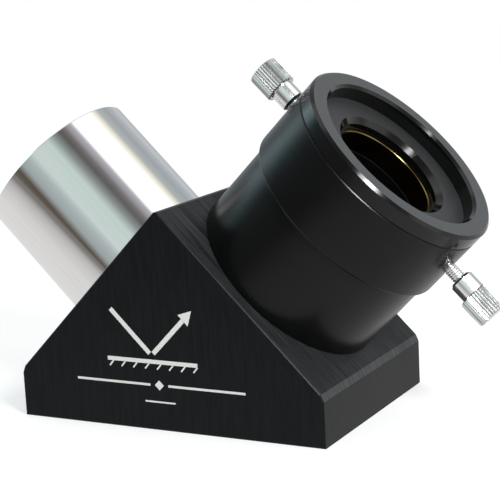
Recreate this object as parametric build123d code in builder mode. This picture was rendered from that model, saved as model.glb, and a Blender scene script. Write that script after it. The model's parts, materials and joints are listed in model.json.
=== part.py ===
from build123d import *
from math import cos, pi, sin, sqrt
import os

# Two-inch mirror star diagonal with a 1.25 inch eyepiece adapter.
#
# The light enters through the nosepiece, turns 90 degrees on the mirror and leaves through the eyepiece
# holder. Both port axes lie in the XZ plane, at 45 degrees to the mirror, and cross on its front face.
# +Z is up, the origin is the centre of the base, and lengths are in millimetres.

os.makedirs("parts", exist_ok=True)

# Shared by all pieces
overshoot = 5
edge_break = 0.3
bore_chamfer = 0.5

# Prism housing
base_length = 100
housing_thickness = 69
side_height = 14.5
slope_edge_chamfer = 1.2
ridge_chamfer = 1
face_edge_chamfer = 0.3

# Mirror and its cell in the underside of the housing
mirror_z = 16
mirror_length, mirror_width, mirror_thickness = 74, 53, 10
mirror_corner, mirror_edge_chamfer = 5, 0.4
cell_length, cell_width, cell_corner = 76, 55, 3
plate_length, plate_width, plate_thickness, plate_corner = 89.8, 59.8, 4.5, 4
plate_gap = 0.1
plate_screw_x, plate_screw_y = 41.5, 25
plate_hole_radius, plate_sink_radius = 1.7, 2.95
pad_radius, pad_front_x, pad_rear_x, pad_rear_y = 4.5, -24, 17, 15
spacer_length, spacer_height, spacer_offset, spacer_lift = 7, 5, 18, 1

# Ports, measured along each port axis from the mirror centre
port_face = (base_length / 2 + side_height - mirror_z) / sqrt(2)
port_thread_radius = 25
root_length = 7
root_start = port_face - root_length
root_radius = 24.9
light_radius = 23

# Two-inch nosepiece
two_inch_radius = 25.4
nosepiece_length = 44
nosepiece_end = port_face + nosepiece_length
filter_crest_radius, filter_root_radius = 23.6, 24
filter_pitch, filter_turns, filter_relief = 0.75, 6, 0.8
baffle_distance, baffle_radius, baffle_thickness, baffle_bevel = 52, 21.4, 1.2, 0.6

# Eyepiece holder: lower tube and collar
tube_radius = 30.4
holder_bore_radius = 25.5
bore_floor = 37
tube_end = 61.5
spigot_radius, spigot_length, spigot_gap, shoulder_gap = 28.4, 6.3, 0.1, 0.2
collar_radius = 32
collar_end = 81.4
collar_round = 1
screw_distance = 72.7
two_inch_ring_width, two_inch_groove_width = 6.6, 7
two_inch_groove_radius = 27.2
two_inch_ring_outer = 26.9

# Adapter for 1.25 inch eyepieces
adapter_start = 53.4
flange_radius = 32
flange_end = 86.4
flange_chamfer = 0.8
line_width, line_depth = 0.4, 0.5
recess_radius = 25.9
recess_floor = 81.7
mouth_radius = 17
mouth_chamfer = 1.5
eyepiece_bore_radius = 15.95
small_ring_inner, small_ring_outer = 16, 17.4
small_groove_radius = 17.6
small_groove_start, small_groove_end = 71.5, 78.3
small_ring_gap = 0.15
ring_split, ring_edge, ring_clearance = 3, 0.2, 0.05

# Thumbscrews, M4 x 0.7, measured outward from the eyepiece axis
screw_radius, screw_root_radius, screw_tip_radius = 2, 1.68, 1.58
screw_hole_radius = 2.05
screw_pitch = 0.7
screw_tip = 27
thread_length = 5.9
neck_radius, neck_length, neck_chamfer, neck_overlap = 3.6, 5.6, 0.7, 1
stud_depth = 10
knob_radius, knob_length, knob_chamfer = 4.85, 8.2, 0.45
knurl_count, knurl_depth = 33, 0.42
lower_screw_backed_out = 3.3

# Small screws
csk_head_radius, csk_radius, csk_end, csk_point = 2.75, 1.45, 11, 0.4
csk_recess, csk_hex, csk_hex_depth = 0.05, 2, 1.2
tapped_radius, tapped_end = 1.5, 12.5
grub_radius, grub_length, grub_chamfer = 1.2, 5, 0.25
grub_hex, grub_hex_depth = 1.5, 1.4
grub_hole_radius, grub_clearance = 1.25, 0.05
grub_distance = root_start + root_length / 2

mirror_centre = Vector(0, 0, mirror_z)
nose_direction = Vector(-1, 0, 1).normalized()
eye_direction = Vector(1, 0, 1).normalized()
nose_axis = Axis(mirror_centre, nose_direction)
eye_axis = Axis(mirror_centre, eye_direction)


def section_plane(origin, direction):
    """Plane through an axis: its local X is the radius and its local Y is the distance along the axis."""
    across = Vector(0, 1, 0)
    return Plane(origin=origin, x_dir=across, z_dir=across.cross(direction))


def outline(plane, points):
    """Closed straight-sided face on a plane."""
    with BuildSketch(plane) as sketch:
        with BuildLine():
            Polyline(*points, close=True)
        make_face()
    return sketch.sketch


def thread_points(crest, root, start, pitch, turns):
    """Zigzag profile of a thread, drawn as closed rings with flat crests."""
    points = []
    for turn in range(turns):
        base = start + turn * pitch
        points += [(crest, base + 0.15 * pitch), (root, base + 0.5 * pitch), (crest, base + 0.85 * pitch)]
    return points


nose_section = section_plane(mirror_centre, nose_direction)
eye_section = section_plane(mirror_centre, eye_direction)

# --- Housing -------------------------------------------------------------------------------------------
with BuildPart() as light_path:
    for direction in (nose_direction, eye_direction):
        with BuildSketch(Plane(origin=mirror_centre, z_dir=direction)):
            Circle(light_radius)
        extrude(amount=port_face + overshoot)
        with BuildSketch(Plane(origin=mirror_centre, z_dir=-direction)):
            Circle(light_radius)
        extrude(amount=light_radius + overshoot)
    split(bisect_by=Plane.XY.offset(mirror_z), keep=Keep.TOP)

with BuildPart() as housing_body:
    half = base_length / 2
    prism = [(-half, 0), (half, 0), (half, side_height), (0, side_height + half), (-half, side_height)]
    extrude(outline(Plane.XZ.offset(-housing_thickness / 2), prism), amount=housing_thickness)
    long_edges = housing_body.edges().filter_by(Axis.Y).group_by(Axis.Z)
    chamfer(long_edges[2], ridge_chamfer)
    chamfer(housing_body.edges().filter_by(Axis.Y).group_by(Axis.Z)[1], slope_edge_chamfer)
    side_faces = housing_body.faces().filter_by(Axis.Y)
    chamfer(side_faces.edges(), face_edge_chamfer)
    add(light_path.part, mode=Mode.SUBTRACT)
    for direction in (nose_direction, eye_direction):
        with BuildSketch(Plane(origin=mirror_centre + direction * root_start, z_dir=direction)):
            Circle(port_thread_radius)
        extrude(amount=root_length + overshoot, mode=Mode.SUBTRACT)
        lock_point = mirror_centre + direction * grub_distance
        with BuildSketch(Plane(origin=lock_point, z_dir=(0, 1, 0))):
            Circle(grub_hole_radius)
        extrude(amount=housing_thickness / 2, mode=Mode.SUBTRACT)
    with BuildSketch(Plane.XY):
        Rectangle(cell_length, cell_width)
        fillet(vertices(), cell_corner)
    extrude(amount=mirror_z, mode=Mode.SUBTRACT)
    with BuildSketch(Plane.XY):
        Rectangle(plate_length + 2 * plate_gap, plate_width + 2 * plate_gap)
        fillet(vertices(), plate_corner)
    extrude(amount=plate_thickness, mode=Mode.SUBTRACT)
    with BuildSketch(Plane.XY):
        with GridLocations(2 * plate_screw_x, 2 * plate_screw_y, 2, 2):
            Circle(tapped_radius)
    extrude(amount=tapped_end, mode=Mode.SUBTRACT)
housing_body.part.label = "housing_body"

# --- Base plate, mirror and mirror cell ----------------------------------------------------------------
with BuildPart() as base_plate:
    with BuildSketch(Plane.XY):
        Rectangle(plate_length, plate_width)
        fillet(vertices(), plate_corner)
    extrude(amount=plate_thickness)
    with Locations(base_plate.faces().sort_by(Axis.Z)[0]):
        with GridLocations(2 * plate_screw_x, 2 * plate_screw_y, 2, 2):
            CounterSinkHole(radius=plate_hole_radius, counter_sink_radius=plate_sink_radius,
                            counter_sink_angle=90)
base_plate.part.label = "base_plate"

with BuildPart() as base_plate_screws:
    cone_end = csk_recess + csk_head_radius - csk_radius
    screw_profile = [(0, csk_recess), (csk_head_radius, csk_recess), (csk_radius, cone_end),
                     (csk_radius, csk_end - csk_point), (csk_radius - csk_point, csk_end), (0, csk_end)]
    for x in (-plate_screw_x, plate_screw_x):
        for y in (-plate_screw_y, plate_screw_y):
            screw_plane = Plane(origin=(x, y, 0), x_dir=(1, 0, 0), z_dir=(0, -1, 0))
            revolve(outline(screw_plane, screw_profile), axis=Axis((x, y, 0), (0, 0, 1)))
    with BuildSketch(Plane.XY):
        with GridLocations(2 * plate_screw_x, 2 * plate_screw_y, 2, 2):
            RegularPolygon(csk_hex / 2, 6, major_radius=False)
    extrude(amount=csk_hex_depth, mode=Mode.SUBTRACT)
base_plate_screws.part.label = "base_plate_screws"

mirror_back = mirror_z - mirror_thickness
with BuildPart() as mirror_glass:
    with BuildSketch(Plane.XY.offset(mirror_back)):
        Rectangle(mirror_length, mirror_width)
        chamfer(vertices(), mirror_corner)
    extrude(amount=mirror_thickness)
    chamfer(mirror_glass.faces().filter_by(Axis.Z).edges(), mirror_edge_chamfer)
mirror_glass.part.label = "mirror_glass"

mirror_pads = []
for x, y in ((pad_front_x, 0), (pad_rear_x, pad_rear_y), (pad_rear_x, -pad_rear_y)):
    with BuildPart() as pad:
        with BuildSketch(Plane(origin=(x, y, plate_thickness))):
            Circle(pad_radius)
        extrude(amount=mirror_back - plate_thickness)
    mirror_pads.append(pad)
    pad.part.label = f"mirror_pad_{len(mirror_pads)}"

spacer_thickness = (cell_length - mirror_length) / 2
spacer_x = (mirror_length + cell_length) / 4
spacer_y = (mirror_width + cell_width) / 4
side_spacers = [(x, y, spacer_length, spacer_thickness)
                for x in (-spacer_offset, spacer_offset) for y in (-spacer_y, spacer_y)]
end_spacers = [(x, 0, spacer_thickness, spacer_length) for x in (-spacer_x, spacer_x)]
edge_spacers = []
for x, y, length, width in side_spacers + end_spacers:
    with BuildPart() as spacer:
        with BuildSketch(Plane(origin=(x, y, mirror_back + spacer_lift))):
            Rectangle(length, width)
        extrude(amount=spacer_height)
    edge_spacers.append(spacer)
    spacer.part.label = f"mirror_edge_spacer_{len(edge_spacers)}"

# --- Nosepiece -----------------------------------------------------------------------------------------
filter_start = nosepiece_end - bore_chamfer - filter_pitch * filter_turns
with BuildPart() as nosepiece_barrel:
    filter_thread = thread_points(filter_crest_radius, filter_root_radius, filter_start,
                                  filter_pitch, filter_turns)
    barrel_profile = [
        (light_radius, root_start), (root_radius, root_start), (root_radius, port_face),
        (two_inch_radius, port_face), (two_inch_radius, nosepiece_end - edge_break),
        (two_inch_radius - edge_break, nosepiece_end), (filter_crest_radius + bore_chamfer, nosepiece_end),
        (filter_crest_radius, nosepiece_end - bore_chamfer), *reversed(filter_thread),
        (filter_root_radius, filter_start), (filter_root_radius, filter_start - filter_relief),
        (light_radius, filter_start - filter_relief),
    ]
    revolve(outline(nose_section, barrel_profile), axis=nose_axis)
nosepiece_barrel.part.label = "nosepiece_barrel"

with BuildPart() as nosepiece_baffle:
    baffle_end = baffle_distance + baffle_thickness
    baffle_profile = [
        (baffle_radius, baffle_distance + edge_break), (baffle_radius + baffle_bevel, baffle_distance),
        (light_radius, baffle_distance), (light_radius, baffle_end),
        (baffle_radius + baffle_bevel, baffle_end), (baffle_radius, baffle_end - edge_break),
    ]
    revolve(outline(nose_section, baffle_profile), axis=nose_axis)
nosepiece_baffle.part.label = "nosepiece_baffle"


def lock_screw(direction):
    """Grub screw that bears on a screwed root from the back face of the housing."""
    tip = mirror_centre + direction * grub_distance + Vector(0, root_radius + grub_clearance, 0)
    with BuildPart() as screw:
        with BuildSketch(Plane(origin=tip, z_dir=(0, 1, 0))):
            Circle(grub_radius)
        extrude(amount=grub_length)
        chamfer(screw.edges().filter_by(GeomType.CIRCLE), grub_chamfer)
        with BuildSketch(Plane(origin=tip + Vector(0, grub_length, 0), z_dir=(0, -1, 0))):
            RegularPolygon(grub_hex / 2, 6, major_radius=False)
        extrude(amount=grub_hex_depth, mode=Mode.SUBTRACT)
    return screw


nosepiece_lock_screw = lock_screw(nose_direction)
nosepiece_lock_screw.part.label = "nosepiece_lock_screw"
holder_lock_screw = lock_screw(eye_direction)
holder_lock_screw.part.label = "holder_lock_screw"

# --- Eyepiece holder -----------------------------------------------------------------------------------
spigot_end = tube_end + spigot_length
with BuildPart() as holder_tube:
    tube_profile = [
        (light_radius, root_start), (root_radius, root_start), (root_radius, port_face),
        (tube_radius - edge_break, port_face), (tube_radius, port_face + edge_break),
        (tube_radius, tube_end),
        (spigot_radius, tube_end), (spigot_radius, spigot_end), (holder_bore_radius, spigot_end),
        (holder_bore_radius, bore_floor), (light_radius, bore_floor),
    ]
    revolve(outline(eye_section, tube_profile), axis=eye_axis)
holder_tube.part.label = "holder_tube"

groove_start = screw_distance - two_inch_groove_width / 2
groove_end = screw_distance + two_inch_groove_width / 2
screw_centre = mirror_centre + eye_direction * screw_distance
with BuildPart() as holder_collar:
    collar_profile = [
        (spigot_radius + spigot_gap, tube_end), (collar_radius, tube_end),
        (collar_radius, collar_end - edge_break), (collar_radius - edge_break, collar_end),
        (holder_bore_radius + bore_chamfer, collar_end), (holder_bore_radius, collar_end - bore_chamfer),
        (holder_bore_radius, groove_end), (two_inch_groove_radius, groove_end),
        (two_inch_groove_radius, groove_start), (holder_bore_radius, groove_start),
        (holder_bore_radius, spigot_end + shoulder_gap),
        (spigot_radius + spigot_gap, spigot_end + shoulder_gap),
    ]
    revolve(outline(eye_section, collar_profile), axis=eye_axis)
    widest = holder_collar.edges().filter_by(GeomType.CIRCLE).group_by(SortBy.RADIUS)[-1]
    fillet(widest.sort_by(eye_axis)[0], collar_round)
    for outward in (nose_direction, -nose_direction):
        with BuildSketch(Plane(origin=screw_centre, z_dir=outward)):
            Circle(screw_hole_radius)
        extrude(amount=collar_radius + overshoot, mode=Mode.SUBTRACT)
holder_collar.part.label = "holder_collar"


def split_ring(inner, outer, start, end):
    """Brass compression ring on the eyepiece axis, cut through on its -Y side."""
    with BuildPart() as ring:
        ring_profile = [(inner, start + ring_edge), (inner + ring_edge, start), (outer, start),
                        (outer, end), (inner + ring_edge, end), (inner, end - ring_edge)]
        revolve(outline(eye_section, ring_profile), axis=eye_axis)
        with BuildSketch(Plane(origin=mirror_centre + eye_direction * start, x_dir=(0, 1, 0),
                               z_dir=eye_direction)):
            with Locations((-outer / 2 - inner / 2, 0)):
                Rectangle(2 * (outer - inner), ring_split)
        extrude(amount=end - start, mode=Mode.SUBTRACT)
    return ring


ring_start = screw_distance - two_inch_ring_width / 2
compression_ring_2in = split_ring(holder_bore_radius + ring_clearance, two_inch_ring_outer, ring_start,
                                  ring_start + two_inch_ring_width)
compression_ring_2in.part.label = "compression_ring_2in"

# --- Adapter -------------------------------------------------------------------------------------------
with BuildPart() as adapter_body:
    adapter_profile = [
        (eyepiece_bore_radius + bore_chamfer, adapter_start),
        (two_inch_radius - bore_chamfer, adapter_start),
        (two_inch_radius, adapter_start + bore_chamfer), (two_inch_radius, collar_end),
        (flange_radius - line_depth, collar_end), (flange_radius - line_depth, collar_end + line_width),
        (flange_radius, collar_end + line_width), (flange_radius, flange_end),
        (recess_radius, flange_end), (recess_radius, recess_floor),
        (mouth_radius + mouth_chamfer, recess_floor), (mouth_radius, recess_floor - mouth_chamfer),
        (mouth_radius, small_groove_end), (small_groove_radius, small_groove_end),
        (small_groove_radius, small_groove_start), (eyepiece_bore_radius, small_groove_start),
        (eyepiece_bore_radius, adapter_start + bore_chamfer),
    ]
    revolve(outline(eye_section, adapter_profile), axis=eye_axis)
    chamfer(adapter_body.edges().filter_by(GeomType.CIRCLE).group_by(eye_axis)[-1], flange_chamfer)
adapter_body.part.label = "adapter_body"

compression_ring_1p25in = split_ring(small_ring_inner, small_ring_outer,
                                     small_groove_start + small_ring_gap, small_groove_end - small_ring_gap)
compression_ring_1p25in.part.label = "compression_ring_1p25in"


# --- Thumbscrews ---------------------------------------------------------------------------------------
def thumbscrew_shank(outward, backed_out):
    """Threaded stud; its inner end bears on the two-inch compression ring."""
    plane = section_plane(screw_centre, outward)
    tip = screw_tip + backed_out
    neck_start = tip + thread_length
    turns = int(thread_length / screw_pitch)
    thread = thread_points(screw_radius, screw_root_radius, neck_start - turns * screw_pitch,
                           screw_pitch, turns)
    profile = [(0, tip), (screw_tip_radius, tip), *thread, (screw_radius, neck_start),
               (screw_radius, neck_start + stud_depth), (0, neck_start + stud_depth)]
    with BuildPart() as shank:
        revolve(outline(plane, profile), axis=Axis(screw_centre, outward))
    return shank


def thumbscrew_knob(outward, backed_out):
    """Knurled head with a plain neck, bored for the stud."""
    plane = section_plane(screw_centre, outward)
    neck_start = screw_tip + backed_out + thread_length
    knob_start = neck_start + neck_length
    knob_end = knob_start + knob_length
    neck_profile = [(0, neck_start), (neck_radius - neck_chamfer, neck_start),
                    (neck_radius, neck_start + neck_chamfer), (neck_radius, knob_start + neck_overlap),
                    (0, knob_start + neck_overlap)]
    trim_profile = [(0, knob_start), (knob_radius - knob_chamfer, knob_start),
                    (knob_radius, knob_start + knob_chamfer), (knob_radius, knob_end - knob_chamfer),
                    (knob_radius - knob_chamfer, knob_end), (0, knob_end)]
    ridges = []
    for ridge in range(knurl_count):
        for place, radius in ((0, knob_radius), (0.5, knob_radius - knurl_depth)):
            angle = 2 * pi * (ridge + place) / knurl_count
            ridges.append((radius * cos(angle), radius * sin(angle)))
    axis = Axis(screw_centre, outward)
    with BuildPart() as knob:
        knob_plane = Plane(origin=screw_centre + outward * knob_start, x_dir=(0, 1, 0), z_dir=outward)
        extrude(outline(knob_plane, ridges), amount=knob_length)
        revolve(outline(plane, trim_profile), axis=axis, mode=Mode.INTERSECT)
        revolve(outline(plane, neck_profile), axis=axis)
        with BuildSketch(Plane(origin=screw_centre + outward * neck_start, z_dir=outward)):
            Circle(screw_hole_radius)
        extrude(amount=stud_depth, mode=Mode.SUBTRACT)
    return knob


upper_thumbscrew_shank = thumbscrew_shank(nose_direction, 0)
upper_thumbscrew_shank.part.label = "upper_thumbscrew_shank"
upper_thumbscrew_knob = thumbscrew_knob(nose_direction, 0)
upper_thumbscrew_knob.part.label = "upper_thumbscrew_knob"
lower_thumbscrew_shank = thumbscrew_shank(-nose_direction, lower_screw_backed_out)
lower_thumbscrew_shank.part.label = "lower_thumbscrew_shank"
lower_thumbscrew_knob = thumbscrew_knob(-nose_direction, lower_screw_backed_out)
lower_thumbscrew_knob.part.label = "lower_thumbscrew_knob"

pieces = (
    housing_body, base_plate, base_plate_screws, mirror_glass, *mirror_pads, *edge_spacers, nosepiece_barrel,
    nosepiece_baffle, nosepiece_lock_screw, holder_tube, holder_lock_screw, holder_collar,
    compression_ring_2in, adapter_body, compression_ring_1p25in,
    upper_thumbscrew_shank, upper_thumbscrew_knob, lower_thumbscrew_shank, lower_thumbscrew_knob,
)
for piece in pieces:
    export_step(piece.part, f"parts/{piece.part.label}.step")
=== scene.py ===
"""Looks for the star diagonal: materials on the CAD pieces, the printed marks, the studio and the camera."""

import json
import math

import bmesh
import bpy
from mathutils import Matrix, Vector


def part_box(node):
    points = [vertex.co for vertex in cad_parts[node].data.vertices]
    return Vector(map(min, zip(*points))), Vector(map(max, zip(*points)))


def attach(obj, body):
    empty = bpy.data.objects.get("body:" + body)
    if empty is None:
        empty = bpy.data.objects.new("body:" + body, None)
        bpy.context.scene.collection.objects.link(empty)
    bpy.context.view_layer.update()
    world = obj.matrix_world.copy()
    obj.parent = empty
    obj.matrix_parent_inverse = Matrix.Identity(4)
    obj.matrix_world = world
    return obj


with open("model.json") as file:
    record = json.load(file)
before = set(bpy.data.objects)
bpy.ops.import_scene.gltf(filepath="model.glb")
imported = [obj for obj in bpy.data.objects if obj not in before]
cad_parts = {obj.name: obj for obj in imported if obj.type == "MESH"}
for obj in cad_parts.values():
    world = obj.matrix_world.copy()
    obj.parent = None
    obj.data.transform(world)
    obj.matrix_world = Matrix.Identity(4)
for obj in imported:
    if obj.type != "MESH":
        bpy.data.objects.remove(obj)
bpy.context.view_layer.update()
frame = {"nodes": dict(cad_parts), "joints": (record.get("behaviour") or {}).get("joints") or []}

NODES = frame["nodes"]
MM = 0.001
EYE = Vector((1, 0, 1)).normalized()
NOSE = Vector((-1, 0, 1)).normalized()
ACROSS = Vector((0, 1, 0))


def hinge(name):
    """A hinge's place in the record, as a vector."""
    return Vector(next(j["pos_m"] for j in frame["joints"] if j["name"] == name))


MIRROR_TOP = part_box("mirror_glass")[1].z
MIRROR_CENTRE = Vector((0, 0, MIRROR_TOP))
BARREL_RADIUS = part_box("nosepiece_barrel")[1].y
BARREL_SKIN = BARREL_RADIUS - 1.35 * MM
RECESS_EDGE = BARREL_RADIUS + 0.9 * MM
KNOB_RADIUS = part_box("upper_thumbscrew_knob")[1].y
KNURL_FOOT, KNURL_CREST = KNOB_RADIUS - 0.45 * MM, KNOB_RADIUS - 0.1 * MM
NECK_TOP = KNOB_RADIUS - 1.1 * MM
FRONT_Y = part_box("housing_body")[0].y


def plug(tree, socket, value):
    """Links a node's output to an input, or gives the input a plain value."""
    if isinstance(value, bpy.types.NodeSocket):
        tree.links.new(value, socket)
    else:
        socket.default_value = value


class Surface:
    """A Principled material with short calls for the nodes that the finishes share."""

    def __init__(self, name, **values):
        self.material = bpy.data.materials.new(name)
        self.material.use_nodes = True
        self.tree = self.material.node_tree
        self.shader = self.tree.nodes["Principled BSDF"]
        self.place = self.node("ShaderNodeTexCoord").outputs["Object"]
        for socket, value in values.items():
            self.shader.inputs[socket.replace("_", " ")].default_value = value

    def node(self, kind, inputs=(), **settings):
        """A new node, with its settings and its inputs, which are values or sockets."""
        made = self.tree.nodes.new(kind)
        for setting, value in settings.items():
            setattr(made, setting, value)
        for index, value in enumerate(inputs):
            plug(self.tree, made.inputs[index], value)
        return made

    def math(self, operation, *inputs):
        return self.node("ShaderNodeMath", inputs, operation=operation).outputs[0]

    def vector(self, operation, *inputs):
        made = self.node("ShaderNodeVectorMath", inputs, operation=operation)
        scalar = operation in ("DOT_PRODUCT", "LENGTH", "DISTANCE")
        return made.outputs["Value" if scalar else "Vector"]

    def stretched(self, scales):
        """The object's own coordinates, stretched along each axis."""
        return self.vector("MULTIPLY", self.place, tuple(scales))

    def noise(self, place, scale=1.0, detail=3.0, roughness=0.6):
        made = self.node("ShaderNodeTexNoise")
        self.tree.links.new(place, made.inputs["Vector"])
        made.inputs["Scale"].default_value = scale
        made.inputs["Detail"].default_value = detail
        made.inputs["Roughness"].default_value = roughness
        return made.outputs["Fac"]

    def spread(self, value, low, high, to_low=0.0, to_high=1.0):
        """Maps a range of values to another one, held at its ends."""
        made = self.node("ShaderNodeMapRange", (value, low, high, to_low, to_high))
        return made.outputs["Result"]

    def along_and_out(self, origin, axis):
        """Distance along an axis from an origin, and distance from that axis."""
        offset = self.vector("SUBTRACT", self.place, tuple(origin))
        along = self.vector("DOT_PRODUCT", offset, tuple(axis))
        length = self.vector("LENGTH", offset)
        out = self.math("SQRT", self.math("SUBTRACT", self.math("MULTIPLY", length, length),
                                          self.math("MULTIPLY", along, along)))
        return along, out

    def blend(self, factor, first, second):
        """A number between two others, by a factor."""
        made = self.node("ShaderNodeMix", (factor,))
        plug(self.tree, made.inputs[2], first)
        plug(self.tree, made.inputs[3], second)
        return made.outputs[0]

    def facing(self, direction):
        """How far a face's normal lines up with a direction, either way."""
        normal = self.node("ShaderNodeNewGeometry").outputs["Normal"]
        return self.math("ABSOLUTE", self.vector("DOT_PRODUCT", normal, tuple(direction)))

    def join(self, x, y=0.0, z=0.0):
        return self.node("ShaderNodeCombineXYZ", (x, y, z)).outputs[0]

    def mix(self, factor, first, second):
        """A colour between two others, by a factor."""
        made = self.node("ShaderNodeMix", (factor,), data_type="RGBA")
        plug(self.tree, made.inputs[6], first)
        plug(self.tree, made.inputs[7], second)
        return made.outputs[2]

    def set(self, socket, value):
        """Drives one of the shader's inputs."""
        self.tree.links.new(value, self.shader.inputs[socket])

    def bump(self, height, distance, strength=1.0):
        made = self.node("ShaderNodeBump")
        made.inputs["Strength"].default_value = strength
        made.inputs["Distance"].default_value = distance
        self.tree.links.new(height, made.inputs["Height"])
        self.set("Normal", made.outputs["Normal"])


def grey(value, warm=0.0):
    """A neutral colour, a little warm or, below zero, a little cold."""
    return (value * (1 + warm), value, value * (1 - warm), 1)


def brushed_black():
    """Black anodised aluminium with fine brushing round the profile of the housing. The chamfers between
    slopes and ends get a lighter tone of the grain, a painted highlight.
    """
    s = Surface("brushed_black_anodised", Specular_IOR_Level=0.11)
    fine = s.noise(s.stretched((45, 3900, 45)), detail=3, roughness=0.6)
    side_fine = s.noise(s.stretched((900, 900, 70)), detail=4, roughness=0.7)
    is_side = s.math("GREATER_THAN", s.facing(ACROSS), 0.6)
    # The chamfers between the slopes and the ends lean 22.5 degrees up from level; their lighter base colour
    # below is a painted highlight.
    level, upright = s.facing((1, 0, 0)), s.facing((0, 0, 1))
    is_end = s.spread(level, 0.95, 0.99)
    edge_highlight_mask = s.math("MULTIPLY", s.math("GREATER_THAN", level, 0.85), s.math("GREATER_THAN", upright, 0.3))
    side = s.mix(s.spread(side_fine, 0.35, 0.65), grey(0.004, -0.15), grey(0.008, -0.2))
    grain = s.spread(fine, 0.38, 0.66)
    slope = s.mix(grain, grey(0.004, -0.06), grey(0.05, -0.05))
    end = s.mix(grain, grey(0.003, -0.06), grey(0.022, -0.05))
    # Painted highlight: the chamfers get a lighter tone of the grain than the slopes and ends, and it is
    # mixed into the brushed tone below.
    edge = s.mix(grain, grey(0.03, -0.05), grey(0.09, -0.04))
    brushed = s.mix(edge_highlight_mask, s.mix(is_end, slope, end), edge)
    s.set("Base Color", s.mix(is_side, brushed, side))
    s.set("Roughness", s.blend(is_side, s.spread(fine, 0.3, 0.7, 0.32, 0.5),
                               s.spread(side_fine, 0.3, 0.7, 0.34, 0.42)))
    s.bump(s.blend(is_side, fine, s.math("MULTIPLY", side_fine, 0.25)), 0.03 * MM, 0.8)
    return s.material


def turned_black(name, level, smoothest, roughest):
    """Smooth black anodised aluminium, turned on the eyepiece axis. The end faces carry a painted sheen,
    lighter than the walls, and painted shade inside the recess.
    """
    s = Surface(name, Specular_IOR_Level=level)
    along, out = s.along_and_out(MIRROR_CENTRE, EYE)
    rings = s.noise(s.join(s.math("MULTIPLY", along, 5200), s.math("MULTIPLY", out, 5200)), detail=2)
    smudge = s.noise(s.stretched((70, 70, 70)), detail=4)
    end_face = s.spread(s.facing(EYE), 0.97, 0.995)
    wall = s.mix(smudge, grey(0.002), grey(0.0045, -0.06))
    # Painted shade: the end face inside the recess is darker than the flange around it.
    recess_painted_shade = s.mix(rings, grey(0.018, -0.04), grey(0.042, -0.04))
    # Painted sheen: the flat turned face outside the recess gets a lighter base colour than the walls.
    flange_painted_sheen = s.mix(rings, grey(0.04, -0.04), grey(0.075, -0.04))
    end = s.mix(s.math("GREATER_THAN", out, RECESS_EDGE), recess_painted_shade, flange_painted_sheen)
    s.set("Base Color", s.mix(end_face, wall, end))
    lively = s.math("ADD", s.math("MULTIPLY", rings, 0.5), s.math("MULTIPLY", smudge, 0.5))
    s.set("Roughness", s.blend(end_face, s.spread(lively, 0.3, 0.7, smoothest, roughest),
                               s.spread(lively, 0.3, 0.7, 0.3, 0.42)))
    s.bump(rings, 0.004 * MM, 0.3)
    return s.material


def polished_barrel():
    """Polished bright barrel, black and finely stepped inside."""
    s = Surface("polished_barrel")
    along, out = s.along_and_out(MIRROR_CENTRE, NOSE)
    outside = s.math("GREATER_THAN", out, BARREL_SKIN)
    polish = s.noise(s.join(s.math("MULTIPLY", along, 3000), s.math("MULTIPLY", out, 3000)), detail=2)
    haze = s.noise(s.stretched((45, 45, 45)), detail=3)
    offset = s.vector("SUBTRACT", s.place, tuple(MIRROR_CENTRE))
    round_y = s.vector("DOT_PRODUCT", offset, tuple(ACROSS))
    round_e = s.vector("DOT_PRODUCT", offset, tuple(EYE))
    drawn = s.noise(s.join(s.math("MULTIPLY", round_y, 900), s.math("MULTIPLY", round_e, 900),
                           s.math("MULTIPLY", along, 12)), detail=3)
    bright = s.mix(drawn, grey(0.78, 0.004), grey(0.88, 0.004))
    s.set("Base Color", s.mix(outside, grey(0.008), bright))
    s.set("Metallic", outside)
    shiny = s.spread(s.math("ADD", s.math("MULTIPLY", polish, 0.4), s.math("MULTIPLY", haze, 0.6)),
                     0.3, 0.7, 0.05, 0.12)
    s.set("Roughness", s.blend(outside, 0.6, shiny))
    s.bump(drawn, 0.004 * MM, 0.3)
    return s.material


def plated(name, screw_place):
    """Nickel plating on a thumbscrew, with painted shade: darker down in the knurl, lighter on its crests
    and on the neck.
    """
    s = Surface(name, Metallic=1.0)
    _, out = s.along_and_out(screw_place, NOSE)
    haze = s.noise(s.stretched((250, 250, 250)), detail=2)
    # Painted shade: the knurl's valleys and the face below them are dark; its crests and the neck keep the
    # plated colour.
    crest = s.spread(out, KNURL_FOOT, KNURL_CREST)
    neck = s.math("LESS_THAN", out, NECK_TOP)
    lit = s.math("MAXIMUM", crest, neck)
    s.set("Base Color", s.mix(lit, grey(0.42, 0.02), s.mix(haze, grey(0.84), grey(0.94))))
    s.set("Roughness", s.spread(haze, 0.3, 0.7, 0.14, 0.26))
    s.bump(haze, 0.003 * MM, 0.2)
    return s.material


def brass():
    """Turned brass of the compression rings, a little dull, and darkened all over as painted shade of the
    bore.
    """
    s = Surface("turned_brass", Metallic=1.0)
    along, out = s.along_and_out(MIRROR_CENTRE, EYE)
    rings = s.noise(s.join(s.math("MULTIPLY", along, 6000), s.math("MULTIPLY", out, 6000)), detail=2)
    tarnish = s.noise(s.stretched((160, 160, 160)), detail=4)
    # Painted shade: both brass tones are set far darker than bright brass, for the shaded bore; the noise
    # between them is tarnish.
    s.set("Base Color", s.mix(tarnish, (0.15, 0.115, 0.04, 1), (0.25, 0.185, 0.07, 1)))
    s.set("Roughness", s.spread(tarnish, 0.3, 0.7, 0.16, 0.22))
    s.bump(rings, 0.004 * MM, 0.3)
    return s.material


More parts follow.
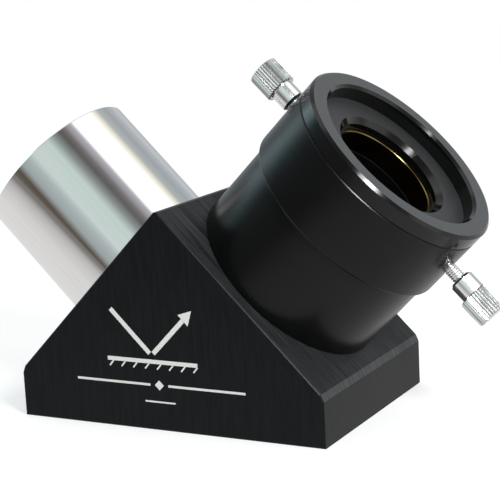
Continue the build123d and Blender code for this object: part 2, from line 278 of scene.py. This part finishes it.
def mirror_glass():
    """Coated front face, frosted glass edges and back."""
    s = Surface("coated_glass")
    height = s.node("ShaderNodeSeparateXYZ", (s.place,)).outputs["Z"]
    coated = s.math("GREATER_THAN", height, MIRROR_TOP - 0.05 * MM)
    frost = s.noise(s.stretched((900, 900, 900)), detail=4)
    s.set("Base Color", s.mix(coated, s.mix(frost, (0.42, 0.52, 0.50, 1), (0.58, 0.68, 0.65, 1)),
                              (0.83, 0.87, 0.92, 1)))
    s.set("Metallic", coated)
    s.set("Roughness", s.spread(coated, 0, 1, 0.5, 0.02))
    s.bump(s.math("MULTIPLY", frost, s.math("SUBTRACT", 1.0, coated)), 0.01 * MM, 0.4)
    return s.material


def silicone():
    """Milky silicone of the pads and spacers."""
    s = Surface("milky_silicone", Subsurface_Weight=0.2)
    mottle = s.noise(s.stretched((500, 500, 500)), detail=3)
    s.set("Base Color", s.mix(mottle, grey(0.55, 0.02), grey(0.70, 0.02)))
    s.set("Roughness", s.spread(mottle, 0.3, 0.7, 0.45, 0.6))
    s.bump(mottle, 0.02 * MM, 0.3)
    return s.material


def black_oxide():
    """Blackened steel of the small screws."""
    s = Surface("black_oxide_steel", Metallic=1.0)
    grain = s.noise(s.stretched((1200, 1200, 1200)), detail=4)
    s.set("Base Color", s.mix(grain, grey(0.03), grey(0.09)))
    s.set("Roughness", s.spread(grain, 0.3, 0.7, 0.3, 0.5))
    s.bump(grain, 0.01 * MM, 0.3)
    return s.material


def matt_baffle():
    """Matt black paint of the light stop."""
    s = Surface("matt_baffle_paint", Specular_IOR_Level=0.3)
    grain = s.noise(s.stretched((2500, 2500, 2500)), detail=3)
    s.set("Base Color", s.mix(grain, grey(0.006), grey(0.016)))
    s.set("Roughness", s.spread(grain, 0.3, 0.7, 0.6, 0.8))
    s.bump(grain, 0.02 * MM, 0.5)
    return s.material


def printing_ink():
    """Pale screen-printed ink."""
    s = Surface("pale_printing_ink", Specular_IOR_Level=0.3)
    speckle = s.noise(s.stretched((3500, 3500, 3500)), detail=3)
    s.set("Base Color", s.mix(speckle, grey(0.58, 0.02), grey(0.74, 0.02)))
    s.set("Roughness", s.spread(speckle, 0.3, 0.7, 0.5, 0.65))
    s.bump(speckle, 0.01 * MM, 0.3)
    return s.material


def dress(material, *names):
    """Gives the material to every slot of the named CAD nodes."""
    for name in names:
        for slot in NODES[name].material_slots:
            slot.link = "OBJECT"
            slot.material = material


dress(brushed_black(), "housing_body", "base_plate")
dress(turned_black("satin_black_anodised", 0.22, 0.2, 0.3), "holder_tube", "holder_collar")
dress(turned_black("gloss_black_anodised", 0.35, 0.08, 0.16), "adapter_body")
dress(polished_barrel(), "nosepiece_barrel")
dress(matt_baffle(), "nosepiece_baffle")
for side in ("upper", "lower"):
    dress(plated(side + "_screw_plating", hinge(side + "_knob_turn")),
          side + "_thumbscrew_knob", side + "_thumbscrew_shank")
dress(brass(), "compression_ring_2in", "compression_ring_1p25in")
dress(mirror_glass(), "mirror_glass")
soft_pieces = [name for name in NODES if name.startswith(("mirror_pad_", "mirror_edge_spacer_"))]
dress(silicone(), *soft_pieces)
dress(black_oxide(), "base_plate_screws", "nosepiece_lock_screw", "holder_lock_screw")

# --- Printed marks: a folded light path over a hatched mirror, and plain rules ----------------------
INK_HEIGHT = 0.04 * MM


def solid(name, mesh, material):
    """An object made from a bmesh, with one material."""
    data = bpy.data.meshes.new(name)
    mesh.to_mesh(data)
    mesh.free()
    data.materials.append(material)
    return bpy.data.objects.new(name, data)


def printed(name, outlines, ink):
    """Flat marks on the front face: each outline is a list of X, Z points in millimetres."""
    mesh = bmesh.new()
    for points in outlines:
        low = [mesh.verts.new((x * MM, FRONT_Y, z * MM)) for x, z in points]
        high = [mesh.verts.new((x * MM, FRONT_Y - INK_HEIGHT, z * MM)) for x, z in points]
        mesh.faces.new(high)
        mesh.faces.new(list(reversed(low)))
        for i in range(len(points)):
            j = (i + 1) % len(points)
            mesh.faces.new((low[i], low[j], high[j], high[i]))
    bmesh.ops.recalc_face_normals(mesh, faces=mesh.faces)
    piece = solid(name, mesh, ink)
    bpy.context.scene.collection.objects.link(piece)
    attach(piece, "root")


def bar(start, end, width):
    """Corners of a straight bar between two points."""
    a, b = Vector(start), Vector(end)
    side = (b - a).normalized().orthogonal() * width / 2
    return [tuple(a + side), tuple(a - side), tuple(b - side), tuple(b + side)]


def arrow(tip, towards, length, width):
    """Corners of an arrowhead whose tip is at a point."""
    direction = Vector(towards).normalized()
    side = direction.orthogonal() * width / 2
    back = Vector(tip) - direction * length
    return [tuple(tip), tuple(back + side), tuple(back - side)]


ink = printing_ink()

ICON_X, ICON_Z, ICON_HALF = -4, 21, 15
RAY_IN, RAY_OUT, RAY_LIFT = 13, 11, 1.2
RAY_WIDTH, RAY_GAP, ARROW_REACH, ARROW_LENGTH, ARROW_WIDTH = 1.4, 0.6, 14, 4.2, 4.4
SURFACE_WIDTH, SURFACE_DROP = 1.2, 0.6
HATCH_STEP, HATCH_WIDTH, HATCH_TOP, HATCH_FOOT, HATCH_SLANT = 4, 0.45, 1.2, 2.8, 1.4
icon_foot = Vector((ICON_X, ICON_Z + RAY_LIFT))
icon = [
    bar(icon_foot + Vector((-RAY_IN, RAY_IN)), icon_foot + Vector((-RAY_GAP, RAY_GAP)), RAY_WIDTH),
    bar(icon_foot + Vector((RAY_GAP, RAY_GAP)), icon_foot + Vector((RAY_OUT, RAY_OUT)), RAY_WIDTH),
    arrow(icon_foot + Vector((ARROW_REACH, ARROW_REACH)), (1, 1), ARROW_LENGTH, ARROW_WIDTH),
    bar((ICON_X - ICON_HALF, ICON_Z - SURFACE_DROP), (ICON_X + ICON_HALF, ICON_Z - SURFACE_DROP),
        SURFACE_WIDTH),
]
for x in range(ICON_X - RAY_IN, ICON_X + ICON_HALF + 1, HATCH_STEP):
    icon.append(bar((x, ICON_Z - HATCH_TOP), (x - HATCH_SLANT, ICON_Z - HATCH_FOOT), HATCH_WIDTH))
printed("print_light_path", icon, ink)

RULE_X, RULE_Z, RULE_HALF, RULE_GAP, RULE_WIDTH, DIAMOND = -2, 13.5, 28, 3, 0.7, 1.5
SHORT_BAR_HALF, SHORT_BAR_DROP, SHORT_BAR_WIDTH = 5, 5, 0.5
rules = [
    bar((RULE_X - RULE_HALF, RULE_Z), (RULE_X - RULE_GAP, RULE_Z), RULE_WIDTH),
    bar((RULE_X + RULE_GAP, RULE_Z), (RULE_X + RULE_HALF, RULE_Z), RULE_WIDTH),
    [(RULE_X - DIAMOND, RULE_Z), (RULE_X, RULE_Z - DIAMOND),
     (RULE_X + DIAMOND, RULE_Z), (RULE_X, RULE_Z + DIAMOND)],
    bar((RULE_X - SHORT_BAR_HALF, RULE_Z - SHORT_BAR_DROP),
        (RULE_X + SHORT_BAR_HALF, RULE_Z - SHORT_BAR_DROP), SHORT_BAR_WIDTH),
]
printed("print_rules", rules, ink)

# --- Studio ---------------------------------------------------------------------------------------------
FLOOR_RADIUS = 1.1
FADE_START, FADE_END = 0.15, 0.6
FLAG_DARK_Y, FLAG_PALE_Y, FLAG_DROP = -0.45, -0.06, 0.1 * MM


def disc(name, material):
    """A flat round piece, as large as the floor."""
    mesh = bmesh.new()
    bmesh.ops.create_circle(mesh, cap_ends=True, radius=FLOOR_RADIUS, segments=96)
    return solid(name, mesh, material)


def studio_floor():
    """A pale round floor that fades into the white background."""
    s = Surface("studio_floor", Roughness=0.9, Specular_IOR_Level=0.1, Emission_Color=grey(1.0))
    distance = s.vector("LENGTH", s.place)
    s.set("Base Color", s.mix(s.spread(distance, FADE_START, FADE_END), grey(0.6), grey(0.0)))
    s.set("Emission Strength", s.spread(distance, FADE_START, FADE_END, 0.55, 1.0))
    floor = disc("studio_floor", s.material)
    bpy.context.scene.collection.objects.link(floor)
    floor.visible_glossy = False


def only_reflected(card):
    """Adds a card to the scene that nothing but reflections can see."""
    for ray in ("camera", "diffuse", "transmission", "volume_scatter", "shadow"):
        setattr(card, "visible_" + ray, False)
    bpy.context.scene.collection.objects.link(card)


def highlight_card(place, aim, width, height, strength):
    """A bright card that only reflections see, for the lit chamfers of the holder."""
    mesh = bmesh.new()
    corners = [(-width, -height, 0), (width, -height, 0), (width, height, 0), (-width, height, 0)]
    mesh.faces.new([mesh.verts.new(Vector(corner) / 2) for corner in corners])
    s = Surface("highlight_card", Emission_Strength=strength, Emission_Color=grey(1.0),
                Base_Color=grey(0.0))
    card = solid("highlight_card", mesh, s.material)
    card.location = place
    card.rotation_euler = (Vector(aim) - Vector(place)).to_track_quat("Z", "Y").to_euler()
    only_reflected(card)


def floor_flag():
    """A cloth on the floor that only reflections see: pale behind the object, dark in front of it."""
    s = Surface("floor_flag", Roughness=1.0, Specular_IOR_Level=0.0, Base_Color=grey(0.0),
                Emission_Strength=1.0)
    depth = s.node("ShaderNodeSeparateXYZ", (s.place,)).outputs["Y"]
    s.set("Emission Color", s.mix(s.spread(depth, FLAG_DARK_Y, FLAG_PALE_Y), grey(0.22, 0.05),
                                  grey(0.80, 0.005)))
    flag = disc("floor_flag", s.material)
    flag.location.z = -FLAG_DROP
    only_reflected(flag)


def studio_world():
    """Soft studio surroundings: pale walls with darker gaps between the lit panels."""
    # Angle in degrees about the nosepiece axis, from the front towards the eyepiece, and the colour there.
    bands = [
        (-180, (0.55, 0.58, 0.60)), (-140, (0.40, 0.45, 0.48)), (-120, (1.5, 1.95, 2.05)),
        (-98, (1.3, 1.8, 1.9)), (-84, (0.6, 0.9, 1.0)), (-66, (0.25, 0.33, 0.36)), (-35, (0.17, 0.18, 0.17)),
        (-17, (0.11, 0.085, 0.06)), (-8, (0.38, 0.43, 0.44)), (6, (0.48, 0.55, 0.56)),
        (15, (0.68, 0.77, 0.75)), (40, (0.62, 0.74, 0.71)), (52, (0.28, 0.31, 0.30)),
        (62, (0.10, 0.10, 0.10)), (70, (0.20, 0.175, 0.17)), (76, (0.38, 0.385, 0.42)),
        (82, (0.50, 0.50, 0.55)), (85, (1.3, 1.3, 1.3)), (117, (1.3, 1.3, 1.3)),
        (125, (1.0, 0.95, 0.80)), (133, (0.50, 0.54, 0.53)), (150, (0.40, 0.43, 0.46)),
        (180, (0.62, 0.65, 0.68)),
    ]
    world = bpy.data.worlds.new("studio")
    bpy.context.scene.world = world
    world.use_nodes = True
    tree = world.node_tree
    tree.nodes.clear()
    make, link = tree.nodes.new, tree.links.new

    def op(kind, operation, *inputs):
        made = make(kind)
        made.operation = operation
        for index, value in enumerate(inputs):
            plug(tree, made.inputs[index], value)
        return made

    direction = make("ShaderNodeTexCoord").outputs["Generated"]
    up = op("ShaderNodeVectorMath", "DOT_PRODUCT", direction, tuple(EYE)).outputs["Value"]
    front = op("ShaderNodeVectorMath", "DOT_PRODUCT", direction, tuple(-ACROSS)).outputs["Value"]
    angle = op("ShaderNodeMath", "ARCTAN2", up, front).outputs[0]
    turn = op("ShaderNodeMath", "MULTIPLY_ADD", angle, 0.5 / math.pi, 0.5).outputs[0]
    ramp = make("ShaderNodeValToRGB")
    link(turn, ramp.inputs["Fac"])
    elements = ramp.color_ramp.elements
    while len(elements) < len(bands):
        elements.new(0.5)
    for element, (degrees, colour) in zip(elements, bands):
        element.position = degrees / 360 + 0.5
        element.color = (*colour, 1)
    reflected = make("ShaderNodeBackground")
    link(ramp.outputs["Color"], reflected.inputs["Color"])
    seen = make("ShaderNodeBackground")
    seen.inputs["Color"].default_value = grey(1.0)
    choose = make("ShaderNodeMixShader")
    link(make("ShaderNodeLightPath").outputs["Is Camera Ray"], choose.inputs["Fac"])
    link(reflected.outputs[0], choose.inputs[1])
    link(seen.outputs[0], choose.inputs[2])
    link(choose.outputs[0], make("ShaderNodeOutputWorld").inputs["Surface"])


def softbox(name, place, aim, size, power):
    """A square area light that faces a point."""
    lamp = bpy.data.lights.new(name, "AREA")
    lamp.size, lamp.energy = size, power
    stand = bpy.data.objects.new(name, lamp)
    stand.location = place
    stand.rotation_euler = (Vector(aim) - Vector(place)).to_track_quat("-Z", "Y").to_euler()
    bpy.context.scene.collection.objects.link(stand)


def camera():
    """The viewpoint: turned about the object, slightly above it, with a slight roll."""
    azimuth, elevation, roll = math.radians(28.46), math.radians(11.19), math.radians(-2.97)
    distance, aim = 0.4836, Vector((0.0044, 0.0123, 0.0441))
    forward = Vector((-math.sin(azimuth) * math.cos(elevation),
                      math.cos(azimuth) * math.cos(elevation), -math.sin(elevation)))
    level_up = (Vector((0, 0, 1)) - forward * forward.z).normalized()
    level_right = forward.cross(level_up)
    right = level_right * math.cos(roll) + level_up * math.sin(roll)
    up = level_up * math.cos(roll) - level_right * math.sin(roll)
    data = bpy.data.cameras.new("camera")
    data.sensor_width, data.lens = 36, 113.64
    data.clip_start, data.clip_end = 0.01, 20
    eye = bpy.data.objects.new("camera", data)
    basis = Matrix((right, up, -forward)).transposed().to_4x4()
    eye.matrix_world = Matrix.Translation(aim - forward * distance) @ basis
    bpy.context.scene.collection.objects.link(eye)
    bpy.context.scene.camera = eye


studio_floor()
floor_flag()
highlight_card((0.55, -0.38, 0.50), (0.05, 0, 0.08), width=0.24, height=0.3, strength=20)
studio_world()
softbox("key_softbox", (0.49, -0.33, 0.44), (0.04, 0, 0.06), size=0.14, power=3)
camera()
bpy.context.scene.view_settings.view_transform = "Standard"
